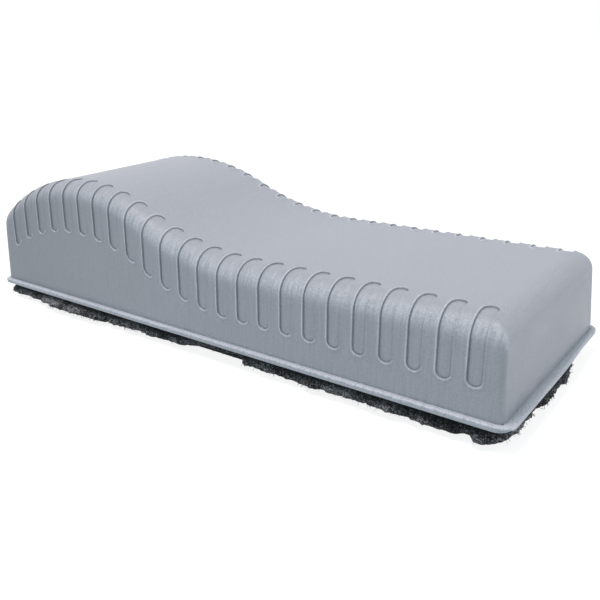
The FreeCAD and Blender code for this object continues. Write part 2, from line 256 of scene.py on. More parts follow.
@dataclass(frozen=True)
class MouldedPlastic:
    """High-impact polystyrene as it leaves a lightly textured mould.

    A dull satin skin: broad soft highlights, a faint drag along the mould's opening
    direction, and a cloudy tint where the resin and the colour did not mix evenly. The
    mesh's painted_light attribute paints it paler for painted highlights and darker for painted
    shade.
    """

    name: str
    colour: str = "#ABAFB7"
    cloud: str = "#A6ABB3"
    # painted highlight: the colour of lit slot lips, the lit shoulder and the flange's lit edge
    painted_highlight: str = "#CACFD7"
    # painted shade: the colour of shaded slot creases and the shaded walls towards the high end
    painted_shade: str = "#8E9299"
    roughness: float = 0.45
    ior: float = 1.49
    cloud_mm: float = 14.0
    # A mould's grain and drag lines are about 0.05 mm wide, too fine to show, so both are
    # drawn several times coarser.
    grain_mm: float = 0.35
    drag_mm: float = 0.5
    drag_shrink: float = 0.06  # scale along the lines, which draws them out
    level_drag: float = 0.25   # what is left of the drag on faces that look straight up
    streaks: float = 0.35      # how far grain and drag break up the painted highlights and shade
    flecks: float = 0.07       # how far they lighten and darken the colour
    glossier: float = 0.12
    duller: float = 0.08
    relief_mm: float = 0.1

    def build(self) -> Material:
        """Build the plastic.

        Returns:
            Its material.
        """
        material = bpy.data.materials.new(self.name)
        tree = fresh_tree(material)
        place = add_node(tree, "ShaderNodeTexCoord").outputs["Object"]
        clouds = add_node(tree, "ShaderNodeTexNoise", {
            "Vector": place, "Scale": 1 / (self.cloud_mm * MM), "Detail": 3.0, "Roughness": 0.55})
        tint = add_node(tree, "ShaderNodeMix", {
            "Factor": clouds, COLOUR_A: linear(self.colour), COLOUR_B: linear(self.cloud)},
            data_type="RGBA")
        # The painted_light attribute: painted highlight above 0, painted shade below 0.
        painted_light = add_node(tree, "ShaderNodeAttribute", attribute_name="painted_light").outputs["Fac"]
        grain = add_node(tree, "ShaderNodeTexNoise", {
            "Vector": place, "Scale": 1 / (self.grain_mm * MM), "Detail": 2.0})
        stretch = add_node(tree, "ShaderNodeMapping", {
            "Vector": place, "Scale": (1.0, self.drag_shrink, self.drag_shrink)})
        drag = add_node(tree, "ShaderNodeTexNoise", {
            "Vector": stretch, "Scale": 1 / (self.drag_mm * MM), "Detail": 2.0})
        # The drag fades from the walls to the level top, which left the mould face on.
        facing = add_node(tree, "ShaderNodeSeparateXYZ", {
            0: add_node(tree, "ShaderNodeNewGeometry").outputs["Normal"]})
        upright = add_node(tree, "ShaderNodeMapRange", {
            "Value": facing.outputs["Z"], "From Min": 0.6, "From Max": 0.98, "To Min": 1.0,
            "To Max": self.level_drag})
        drawn = add_node(tree, "ShaderNodeMix", {"Factor": upright, PLAIN_A: 0.5, PLAIN_B: drag})
        both = add_node(tree, "ShaderNodeMath", {0: grain, 1: drawn}, operation="ADD")
        streak = add_node(tree, "ShaderNodeMapRange", {
            "Value": both, "From Min": 0.85, "From Max": 1.15, "To Min": 1 - self.streaks,
            "To Max": 1 + self.streaks})
        # Painted highlight: lightens towards the painted_highlight colour, broken up by the
        # streaks.
        highlight_share = add_node(tree, "ShaderNodeMath", {0: painted_light, 1: streak}, operation="MULTIPLY")
        highlighted = add_node(tree, "ShaderNodeMix", {
            "Factor": highlight_share, COLOUR_A: tint.outputs[COLOUR_OUT], COLOUR_B: linear(self.painted_highlight)},
            data_type="RGBA")
        # Painted shade: darkens towards the painted_shade colour; worn is the colour with it.
        under = add_node(tree, "ShaderNodeMath", {0: painted_light, 1: -1.0}, operation="MULTIPLY")
        worn = add_node(tree, "ShaderNodeMix", {
            "Factor": under, COLOUR_A: highlighted.outputs[COLOUR_OUT], COLOUR_B: linear(self.painted_shade)},
            data_type="RGBA")
        fleck = add_node(tree, "ShaderNodeMapRange", {
            "Value": both, "From Min": 0.8, "From Max": 1.2, "To Min": 1 - self.flecks,
            "To Max": 1 + self.flecks})
        speckled = add_node(tree, "ShaderNodeVectorMath", {
            0: worn.outputs[COLOUR_OUT], "Scale": fleck}, operation="SCALE")
        gloss = add_node(tree, "ShaderNodeMapRange", {
            "Value": drawn, "From Min": 0.3, "From Max": 0.7,
            "To Min": self.roughness - self.glossier, "To Max": self.roughness + self.duller})
        bump = add_node(tree, "ShaderNodeBump", {
            "Height": both, "Strength": 0.8, "Distance": self.relief_mm * MM})
        shader = add_node(tree, "ShaderNodeBsdfPrincipled", {
            "Base Color": speckled, "Roughness": gloss, "IOR": self.ior, "Normal": bump})
        add_node(tree, "ShaderNodeOutputMaterial", {"Surface": shader})
        return material


@dataclass(frozen=True)
class NeedledFelt:
    """Needle-punched wool felt, dyed black and full of chalk.

    It swallows light: a matt near-black ground, grey clumps of loose fibre nearly half a
    millimetre across, and a little sheen where fibres stand up. The mesh's chalk_and_shade
    attribute says how many of the clumps are chalky, with painted shade that hides them near
    the pad's top, under the handle's flange.
    """

    name: str
    ground: str = "#0F1013"
    fibre: str = "#A2A4AA"
    patch_mm: float = 5.0
    # A wool fibre is about 0.03 mm thick, too fine to show, so clumps of them are drawn.
    speck_mm: float = 0.38
    patchiness: float = 0.35
    bare: float = 0.65   # up to here the summed noise shows the ground
    chalky: float = 0.78  # and from here on the chalky fibre
    relief_mm: float = 0.4

    def build(self) -> Material:
        """Build the felt.

        Returns:
            Its material.
        """
        material = bpy.data.materials.new(self.name)
        tree = fresh_tree(material)
        place = add_node(tree, "ShaderNodeTexCoord").outputs["Object"]
        patches = add_node(tree, "ShaderNodeTexNoise", {
            "Vector": place, "Scale": 1 / (self.patch_mm * MM), "Detail": 2.0})
        specks = add_node(tree, "ShaderNodeTexNoise", {
            "Vector": place, "Scale": 1 / (self.speck_mm * MM), "Detail": 4.0, "Roughness": 0.65,
            "Distortion": 1.2})
        mixed = add_node(tree, "ShaderNodeMath", {
            0: patches, 1: self.patchiness, 2: specks}, operation="MULTIPLY_ADD")
        shade = add_node(tree, "ShaderNodeMapRange", {
            "Value": mixed, "From Min": self.bare, "From Max": self.chalky, "To Min": 0.0,
            "To Max": 1.0})
        # Chalk with painted shade: no chalky clumps where the attribute paints the flange's shade.
        chalk_and_shade = add_node(tree, "ShaderNodeAttribute", attribute_name="chalk_and_shade").outputs["Fac"]
        cover = add_node(tree, "ShaderNodeMath", {0: shade, 1: chalk_and_shade}, operation="MULTIPLY")
        tint = add_node(tree, "ShaderNodeMix", {
            "Factor": cover, COLOUR_A: linear(self.ground), COLOUR_B: linear(self.fibre)},
            data_type="RGBA")
        bump = add_node(tree, "ShaderNodeBump", {
            "Height": specks, "Strength": 0.9, "Distance": self.relief_mm * MM})
        shader = add_node(tree, "ShaderNodeBsdfPrincipled", {
            "Base Color": tint.outputs[COLOUR_OUT], "Roughness": 0.95, "Sheen Weight": 0.15,
            "Sheen Roughness": 0.6, "Specular IOR Level": 0.1, "Normal": bump})
        add_node(tree, "ShaderNodeOutputMaterial", {"Surface": shader})
        return material


@dataclass(frozen=True)
class HotMelt:
    """Hot-melt glue, sprayed on as a film and pressed flat.

    A thin cream skin with a dull gloss, dimples where the drops ran together and paler
    places where it went on thick.
    """

    name: str
    thin: str = "#C9B98D"
    thick: str = "#DED3B4"
    dimple_mm: float = 1.2
    relief_mm: float = 0.1

    def build(self) -> Material:
        """Build the glue.

        Returns:
            Its material.
        """
        material = bpy.data.materials.new(self.name)
        tree = fresh_tree(material)
        place = add_node(tree, "ShaderNodeTexCoord").outputs["Object"]
        dimples = add_node(tree, "ShaderNodeTexNoise", {
            "Vector": place, "Scale": 1 / (self.dimple_mm * MM), "Detail": 2.0})
        tint = add_node(tree, "ShaderNodeMix", {
            "Factor": dimples, COLOUR_A: linear(self.thin), COLOUR_B: linear(self.thick)},
            data_type="RGBA")
        bump = add_node(tree, "ShaderNodeBump", {
            "Height": dimples, "Strength": 0.5, "Distance": self.relief_mm * MM})
        shader = add_node(tree, "ShaderNodeBsdfPrincipled", {
            "Base Color": tint.outputs[COLOUR_OUT], "Roughness": 0.35, "IOR": 1.47, "Normal": bump})
        add_node(tree, "ShaderNodeOutputMaterial", {"Surface": shader})
        return material


# -------- handle

class Row(Enum):
    """Rows of the handle's skin from its middle line out to its foot.

    Each goes with a number: a share of the way, a distance or a point's number.
    """

    FLAT = "share of the level top"
    UPPER = "distance past the centres of the slots' upper ends, negative towards the middle"
    BETWEEN = "share of the slots' straight sides"
    FOOT = "distance past the centres of the slots' lower ends"
    LOW = "share of the plain wall"
    RIM = "number of a point on the flange's section"


@dataclass(frozen=True)
class PaintedLightMarks:
    """Where painted highlights make the handle pale, and painted shade makes it darker.

    Pairs say where a trace starts and is full, fours also where it fades and ends.
    """

    # painted highlight on the flange's top and edge
    flange: float = 0.75
    flange_points: Pair = (1.0, 5.0)
    # painted highlight on the slots' lips, all round and strongest on the side towards the hump and
    # at the foot
    lip_least: float = 0.15
    lip_side: Pair = (-0.3, 0.9)
    lip_foot: Pair = (0.2, 1.2)
    lip: Four = (-0.01, 0.04, 0.2, 0.42)
    # painted highlight on the shoulder, fading out towards the hump
    painted_shine: float = 0.55
    painted_shine_skin: Four = (2.2, 4.4, 4.6, 7.8)
    painted_shine_from: Pair = (-62.0, -40.0)
    # painted shade in the crease along a slot's edge
    crease_shade: Four = (-0.2, -0.07, -0.03, 0.01)
    # painted shade on the walls towards the high end
    wall_shade: float = 0.62
    wall_shade_end: Pair = (5.0, 75.0)
    wall_shade_skin: Pair = (1.5, 6.5)


@dataclass
class HandleShell:
    """The moulded handle: leaning walls, a waved top, grip slots and a flange round its foot.

    Heights are above the shell's own underside. The skin is one sheet that runs from the
    front foot over the top to the back foot, and two sheets for the ends.
    """

    length: float
    width: float
    underside: float
    crest_height: float
    crest_x: float = -38.7
    crest_radius: float = 53.0
    dip_radius: float = 70.0
    tail_height: float = 18.0
    draft: float = math.radians(3.5)
    overhang: float = 1.1
    flange: float = 0.46
    flange_round: float = 0.38
    flange_break: Pair = (0.02, 0.1)
    flange_warp: float = 0.8
    warp_reach: float = 24.0
    # The crease where the wall meets the flange: steps outward and above the flange.
    crease_line: tuple[Pair, ...] = (
        (0.0, 0.1), (-0.03, 0.02), (0.0, -0.05), (0.06, -0.03), (0.12, 0.0))
    recess_wall: float = 1.5
    recess_depth: float = 1.6
    shoulder: float = 4.5
    nose_run: float = 1.8
    nose_drop: float = 2.3
    corner: float = 1.2
    slots: int = 24
    pitch: float = 5.65
    slot_offset: float = 0.82
    slot_half: float = 1.4
    slot_depth: float = 0.24
    slot_drop: float = 12.2
    slot_reach: float = 6.85
    # Distances from a slot's outline, negative inside it.
    slot_edge: Pair = (-0.07, 0.02)
    crease_depth: float = 0.05
    crease: Four = (-0.2, -0.12, -0.08, -0.03)
    lip_height: float = 0.12
    lip: Four = (-0.03, 0.05, 0.06, 0.48)
    # The skin's grid: distances from a slot's middle, shares of the way, and steps.
    rings: tuple[float, ...] = (0.5, 0.95, 1.2, 1.27, 1.33, 1.37, 1.41, 1.45, 1.53, 1.66, 1.88, 2.2)
    round_ring: float = 1.9
    flat_shares: tuple[float, ...] = (0.0, 0.3, 0.55, 0.78, 1.0)
    low_shares: tuple[float, ...] = (0.2, 0.45, 0.7, 0.88, 1.0)
    roll_steps: int = 9
    steps: int = 18
    ring_steps: int = 12
    least_gap: float = 0.15
    fan_margin: float = 0.1
    weld: float = 0.004
    # painted highlights and painted shade on the skin
    light_marks: PaintedLightMarks = PaintedLightMarks()

    def __post_init__(self) -> None:
        """Work out the lengths and stations of the grid that the skin is laid on."""
        self.dip_z = self.tail_height + self.dip_radius
        self.crest_z = self.crest_height - self.crest_radius
        both = self.crest_radius + self.dip_radius
        self.dip_x = self.crest_x + math.sqrt(both ** 2 - (self.dip_z - self.crest_z) ** 2)
        self.joint_x = self.crest_x + self.crest_radius / both * (self.dip_x - self.crest_x)
        self.arc_end = math.pi / 2 - self.draft
        self.arc_length = self.shoulder * self.arc_end
        self.arc_drop = self.shoulder * (1 - math.sin(self.draft))
        self.tail_x = self.half_length(self.tail_height - self.arc_drop)
        self.tail_start = self.tail_x - self.shoulder * math.sin(self.arc_end)
        nose_top = self.top(-self.half_length(self.tail_height))
        self.nose_x = -self.half_length(nose_top - self.nose_drop)
        self.nose_start = self.nose_x + self.nose_run * math.sin(self.arc_end)
        self.border = self.pitch / 2
        self.first = self.slot_offset - self.slots / 2 * self.pitch
        self.fan_start = self.slots / 2 * self.pitch - abs(self.slot_offset) - self.fan_margin
        self.ring_share = self.ring_steps / self.steps
        self.ring_row = (Row.BETWEEN, self.ring_share)

    # ---- outline of the block

    def top(self, x: float) -> float:
        """Follow the top's middle line: hump, hollow, flat.

        Args:
            x: station along the eraser.

        Returns:
            Its height there.
        """
        if x < self.joint_x:
            return self.crest_z + math.sqrt(self.crest_radius ** 2 - (x - self.crest_x) ** 2)
        if x < self.dip_x:
            return self.dip_z - math.sqrt(self.dip_radius ** 2 - (x - self.dip_x) ** 2)
        return self.tail_height

    def half_length(self, z: float) -> float:
        """Half the length of the walls at height z."""
        return self.length / 2 - self.overhang - z * math.tan(self.draft)

    def half_width(self, z: float) -> float:
        """Half the width of the walls at height z."""
        return self.width / 2 - self.overhang - z * math.tan(self.draft)

    def outline(self, kind: Row, z: float, out: float) -> Pair:
        """Half length and half width of a wall row at height z, a step out from the wall."""
        level = max(z, self.flange) if kind is Row.RIM else z
        return self.half_length(level) + out, self.half_width(level) + out

    # ---- columns and rows

    def column_stations(self) -> list[float]:
        """Set out the columns of the grid: rolled end, slots, rolled end.

        Returns:
            X of every column, from the high end to the low end.
        """
        stations = []
        for step in range(self.roll_steps):
            angle = self.arc_end * (1 - step / self.roll_steps)
            stations.append(self.nose_start - self.nose_run * math.sin(angle))
        stations += [self.nose_start, (self.nose_start + self.first) / 2, self.first]
        for slot in range(self.slots):
            middle = self.first + (slot + 0.5) * self.pitch
            stations += [middle - r for r in reversed(self.rings)] + [middle]
            stations += [middle + r for r in self.rings] + [self.first + (slot + 1) * self.pitch]
        last = stations[-1]
        for step in range(1, self.roll_steps + 1):
            angle = self.arc_end * step / self.roll_steps
            x = self.tail_start + self.shoulder * math.sin(angle)
            if x > last + self.least_gap:
                stations.append(x)
        return stations

    def side_rows(self) -> list[tuple[Row, float]]:
        """Set out the rows from the middle line to the foot of one side.

        Returns:
            A kind and a number for each.
        """
        rows = [(Row.FLAT, share) for share in self.flat_shares]
        rows += [(Row.UPPER, -r) for r in reversed(self.rings)] + [(Row.UPPER, 0.0)]
        rows += [(Row.BETWEEN, step / self.steps) for step in range(1, self.steps)]
        rows += [(Row.FOOT, r) for r in (0.0, *self.rings, self.border)]
        rows += [(Row.LOW, share) for share in self.low_shares]
        rows += [(Row.RIM, float(k)) for k in range(1, len(self.rim_profile()))]
        return rows

    def rim_profile(self) -> list[Pair]:
        """Draw the flange's section from the wall's foot to the recess under it.

        Returns:
            Its points, each a step outward from the wall and a height.
        """
        soft = self.flange_round
        foot = [(out, self.flange + up) for out, up in self.crease_line]
        arc = [(self.overhang + soft * (math.sin(a) - 1), self.flange + soft * (math.cos(a) - 1))
               for a in (math.radians(d) for d in (0, 22, 45, 68, 90))]
        up, under = self.flange_break
        edge = [(self.overhang - up, up), (self.overhang - under, 0.0),
                (-self.recess_wall, 0.0), (-self.recess_wall, self.recess_depth)]
        return foot + arc + edge

    def shoulder_start(self, x: float) -> float:
        """Y at which the flat of the top ends and the shoulder begins, for the column at x."""
        z = self.top(x) - self.arc_drop
        return self.half_width(z) - self.shoulder * math.cos(self.draft)

    def section(self, x: float, t: float) -> Triple:
        """Follow the cross-section at x.

        Args:
            x: station along the eraser.
            t: length along the skin, from where the shoulder begins.

        Returns:
            Distance from the middle, drop below the top, and lean of the skin from level.
        """
        start = self.shoulder_start(x)
        if t <= 0:
            return start + t, 0.0, 0.0
        angle = min(t / self.shoulder, self.arc_end)
        down = t - self.shoulder * angle
        y = start + self.shoulder * math.sin(angle) + down * math.sin(self.draft)
        return y, self.shoulder * (1 - math.cos(angle)) + down * math.cos(self.draft), angle

    def row_length(self, x: float, kind: Row, value: float) -> float:
        """Measure along the skin, from where the shoulder begins, to a row above the plain wall.

        Args:
            x: the column's station.
            kind: kind of row.
            value: its number.

        Returns:
            The length, negative on the level top.
        """
        start = self.shoulder_start(x)
        upper = self.width / 2 - self.slot_reach - start
        foot = self.arc_length + (self.slot_drop - self.slot_half - self.arc_drop)
        if kind is Row.FLAT:
            return (start + upper - self.border) * value - start
        if kind is Row.UPPER:
            return upper + value
        if kind is Row.FOOT:
            return foot + value
        if value <= self.ring_share:
            return upper + (self.arc_length - upper) * value / self.ring_share
        past = value - self.ring_share
        return self.arc_length + (foot - self.arc_length) * past / (1 - self.ring_share)

    # ---- rolled ends

    def roll_run(self, x: float) -> Pair:
        """Distance from the middle at which the roll of x's end starts, and its run."""
        return (self.tail_start, self.shoulder) if x > 0 else (-self.nose_start, self.nose_run)

    def roll(self, x: float) -> float:
        """Angle by which an end's top edge has rolled over at x, 0 between the ends."""
        start, run = self.roll_run(x)
        return math.asin(min(1.0, max(0.0, (abs(x) - start) / run)))

    def end_drop(self, x: float, angle: float, y: float) -> float:
        """Drop of an end's rolled edge: full at the low end, less at the high end's middle.

        Args:
            x: station along the eraser.
            angle: how far the edge has rolled over.
            y: distance from the middle.

        Returns:
            The drop below the top.
        """
        full = self.shoulder * (1 - math.cos(angle))
        if x > 0:
            return full
        own = self.nose_drop * (1 - math.cos(angle))
        ring = self.shoulder_start(x) + self.shoulder * math.sin(angle)
        near = max(0.0, min(1.0, 1 - (ring - y) / self.shoulder))
        return own + (full - own) * (1 - math.sqrt(1 - near * near))

    def fan(self, x: float, half_x: float) -> float:
        """Where column x stands on an outline whose half length the outermost columns reach."""
        end = self.tail_x if x > 0 else -self.nose_x
        return x + math.copysign((half_x - end) * ramp(abs(x), self.fan_start, end), x)

    # ---- slots

    def aside(self, x: float) -> float:
        """How far x lies from the middle of its slot, negative towards the high end."""
        number = min(self.slots - 1, max(0, math.floor((x - self.first) / self.pitch)))
        return x - (self.first + (number + 0.5) * self.pitch)

    def groove(self, gap: float) -> float:
        """Height of a slot's sunk floor, creased edge and lip at a gap from its outline."""
        return (self.slot_depth * (ramp(gap, *self.slot_edge) - 1)
                - self.crease_depth * hill(gap, *self.crease)
                + self.lip_height * hill(gap, *self.lip))

    def in_slot(self, x: float, t: float, kind: Row, value: float) -> Triple:
        """Bend the grid round a slot's end and sink it in the slot.

        Args:
            x: the column's station.
            t: the row's length along the skin.
            kind: kind of row.
            value: its number.

        Returns:
            X and length along the skin after bending, and the height to move the skin by.
        """
        aside = self.aside(x)
        if abs(aside) > self.border - TINY:
            return x, t, 0.0
        beyond = {Row.UPPER: -value, Row.FOOT: value, Row.FLAT: self.border}.get(kind, 0.0)
        if beyond <= 0:
            return x, t, self.groove(abs(aside) - self.slot_half)
        ring = max(abs(aside), beyond)
        if ring >= self.border - TINY:
            return x, t, 0.0
        keep = ramp(ring, self.round_ring, self.border)
        share = keep + (1 - keep) * ring / math.hypot(aside, beyond)
        outward = 1 if kind is Row.FOOT else -1
        bent_t = t + outward * beyond * (share - 1)
        return x + aside * (share - 1), bent_t, self.groove(ring - self.slot_half)

    def painted_light(self, x: float, kind: Row, value: float) -> float:
        """Tell how much painted light the skin gets.

        Painted highlight lies on the flange's edge, on a slot's lip, most on the side towards the
        hump and at its foot, and on the shoulder. Painted shade lies in the crease along a slot's
        edge and on the walls towards the high end.

        Args:
            x: the column's station.
            kind: kind of row.
            value: its number.

        Returns:
            Painted light: highlight up to 1, shade down to -1.
        """
        light_marks = self.light_marks
        if kind is Row.RIM:
            return light_marks.flange * ramp(value, *light_marks.flange_points)
        aside = self.aside(x)
        beyond = {Row.UPPER: -value, Row.FOOT: value, Row.BETWEEN: 0.0}.get(kind, self.border)
        gap = max(abs(aside), beyond) - self.slot_half
        foot = ramp(beyond, *light_marks.lip_foot) if kind is Row.FOOT else 0.0
        lip = light_marks.lip_least + (1 - light_marks.lip_least) * max(ramp(-aside, *light_marks.lip_side), foot)
        painted_highlight = lip * hill(gap, *light_marks.lip)
        t = math.inf if kind is Row.LOW else self.row_length(x, kind, value)
        shoulder_highlight = light_marks.painted_shine * hill(t, *light_marks.painted_shine_skin) * ramp(x, *light_marks.painted_shine_from)
        painted_shade = hill(gap, *light_marks.crease_shade)
        wall_shade = light_marks.wall_shade * ramp(-x, *light_marks.wall_shade_end) * ramp(t, *light_marks.wall_shade_skin)
        return max(painted_highlight, shoulder_highlight * (1 - painted_shade)) - max(painted_shade, wall_shade * (1 - painted_highlight))

    # ---- points of the sheets

    def wall_place(self, x: float, kind: Row, value: float, extra: float) -> Triple:
        """Place one row of the wall at one column.

        Args:
            x: the column's station.
            kind: kind of row.
            value: its number.
            extra: how much higher than at the corner the wall begins there.

        Returns:
            Height above the underside, step outward from the wall, and radius of the corner.
        """
        profile = self.rim_profile()
        if kind is Row.RIM:
            out, z = profile[int(value)]
            return z, out, self.corner + max(0.0, out)
        last = self.top(x) - self.slot_drop + self.slot_half - self.border
        if kind is Row.LOW:
            return last + (profile[0][1] - last) * value, 0.0, self.corner
        _, drop, _ = self.section(x, value)
        bottom = self.top(x) - last
        raised = extra * (bottom - drop) / (bottom - self.arc_drop)
        return self.top(x) - drop + raised, 0.0, self.corner

    def hood_point(self, x: float, side: int, kind: Row, value: float) -> Vector:
        """Place one point of the sheet that covers the front, the top and the back.

        Args:
            x: the column's station.
            side: -1 at the front and 1 at the back.
            kind: kind of row.
            value: its number.

        Returns:
            The point.
        """
        if kind in (Row.RIM, Row.LOW):
            z, out, radius = self.wall_place(x, kind, value, 0.0)
            half_x, half_y = self.outline(kind, z, out)
            px, py = round_corner(self.fan(x, half_x), half_y, half_x, half_y, radius)
            return Vector((px, side * py, z))
        x, t, height = self.in_slot(x, self.row_length(x, kind, value), kind, value)
        y, drop, lean = self.section(x, t)
        angle = self.roll(x)
        if t > self.arc_length:
            z = self.top(x) - drop
            half_x, half_y = self.half_length(z), self.half_width(z)
            px, py = round_corner(self.fan(x, half_x), y, half_x, half_y, self.corner)
        else:
            if angle > lean:
                drop = self.end_drop(x, angle, y)
            most = max(angle, lean)
            z = self.top(x) - drop
            start, run = self.roll_run(x)
            half_x = start + run * math.sin(most)
            half_y = self.shoulder_start(x) + self.shoulder * math.sin(most)
            px, py = round_corner(x, y, half_x, half_y, self.corner * math.sin(most))
        return Vector((px, side * (py + height * math.sin(lean)), z + height * math.cos(lean)))

    def end_point(self, x: float, top_row: tuple[int, Row, float], kind: Row,
                  value: float) -> Vector:
        """Place one point of an end wall, under the point where a row of the hood meets it.

        Args:
            x: station of the end.
            top_row: side, kind and number of the row of the hood.
            kind: kind of row on the wall.
            value: its number.

        Returns:
            The point.
        """
        side, top_kind, top_value = top_row
        if (kind, value) == self.ring_row:
            return self.hood_point(x, side, top_kind, top_value)
        y = side * self.section(x, self.row_length(x, top_kind, top_value))[0]
        ring_y = self.shoulder_start(x) + self.shoulder * math.sin(self.arc_end)
        rise = self.shoulder * (1 - math.cos(self.arc_end))
        extra = rise - self.end_drop(x, self.arc_end, abs(y))
        above = kind in (Row.BETWEEN, Row.FOOT)
        number = self.row_length(x, kind, value) if above else value
        z, out, radius = self.wall_place(x, kind, number, extra)
        half_x, half_y = self.outline(kind, z, out)
        px, py = round_corner(math.copysign(half_x, x), y / ring_y * half_y, half_x, half_y, radius)
        return Vector((px, py, z))

    # ---- the piece

    def lay_skin(self, bm: BMesh) -> None:
        """Lay the hood and the two end walls and join them.

        Args:
            bm: mesh that gets them.
        """
        columns, half = self.column_stations(), self.side_rows()
        rows = [(-1, kind, value) for kind, value in reversed(half)]
        rows += [(1, kind, value) for kind, value in half[1:]]
        lay_grid(bm, len(columns), len(rows), lambda i, j: self.hood_point(columns[i], *rows[j]),
                 lambda i, j: self.painted_light(columns[i], *rows[j][1:]))
        ring = half.index(self.ring_row)
        below = half[ring:]
        above = rows[len(half) - 1 - ring:len(half) + ring]
        for x in (columns[0], columns[-1]):
            lay_grid(bm, len(above), len(below),
                     lambda i, j: self.end_point(x, above[i], *below[j]),
                     lambda i, j: self.painted_light(x, *below[j]))
        bmesh.ops.remove_doubles(bm, verts=bm.verts, dist=self.weld)

    def warp(self, bm: BMesh) -> None:
        """Let the flange stand out further at the low end, most at its front corner.

        Args:
            bm: mesh of the joined skin.
        """
        for vert in bm.verts:
            out = vert.co.x - self.half_length(max(vert.co.z, self.flange))
            near = 1 - ramp(vert.co.y, 0.0, self.warp_reach)
            vert.co.x += self.flange_warp * near * ramp(out, 0.0, self.overhang)

    def build(self) -> Object:
        """Lay the skin, warp its flange and close the recess under it.

        Returns:
            The moulding, not dressed yet.
        """
        bm = bmesh.new()
        self.lay_skin(bm)
        self.warp(bm)
        bmesh.ops.edgeloop_fill(bm, edges=[edge for edge in bm.edges if edge.is_boundary])
        bmesh.ops.recalc_face_normals(bm, faces=bm.faces)
        bmesh.ops.translate(bm, vec=(0, 0, self.underside), verts=bm.verts)
        return hand_over(bm, "handle_moulding")

    def dress(self) -> Object:
        """Build the moulding in its plastic, in place of the plain shell.

        Returns:
            The dressed piece.
        """
        shell = self.build()
        finish_piece(shell, Finish.HANDLE, MouldedPlastic("satin_moulded_polystyrene").build())
        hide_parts("handle_shell")
        return shell


# -------- felt

@dataclass(frozen=True)
class EdgeLump:
    """A stretch of the pad's edge that stands out, or is worn back if out is negative."""

    start: float
    end: float
    out: float
    fade_in: float = 3.0
    fade_out: float = 3.0

    def at(self, along: float) -> float:
        """How far the edge stands out at a place along its side."""
        return self.out * hill(along, self.start - self.fade_in, self.start,
                               self.end, self.end + self.fade_out)


def stand(lumps: tuple[EdgeLump, ...], along: float) -> float:
    """How far the lumps of a side stand out together at a place along it."""
    return sum(lump.at(along) for lump in lumps)


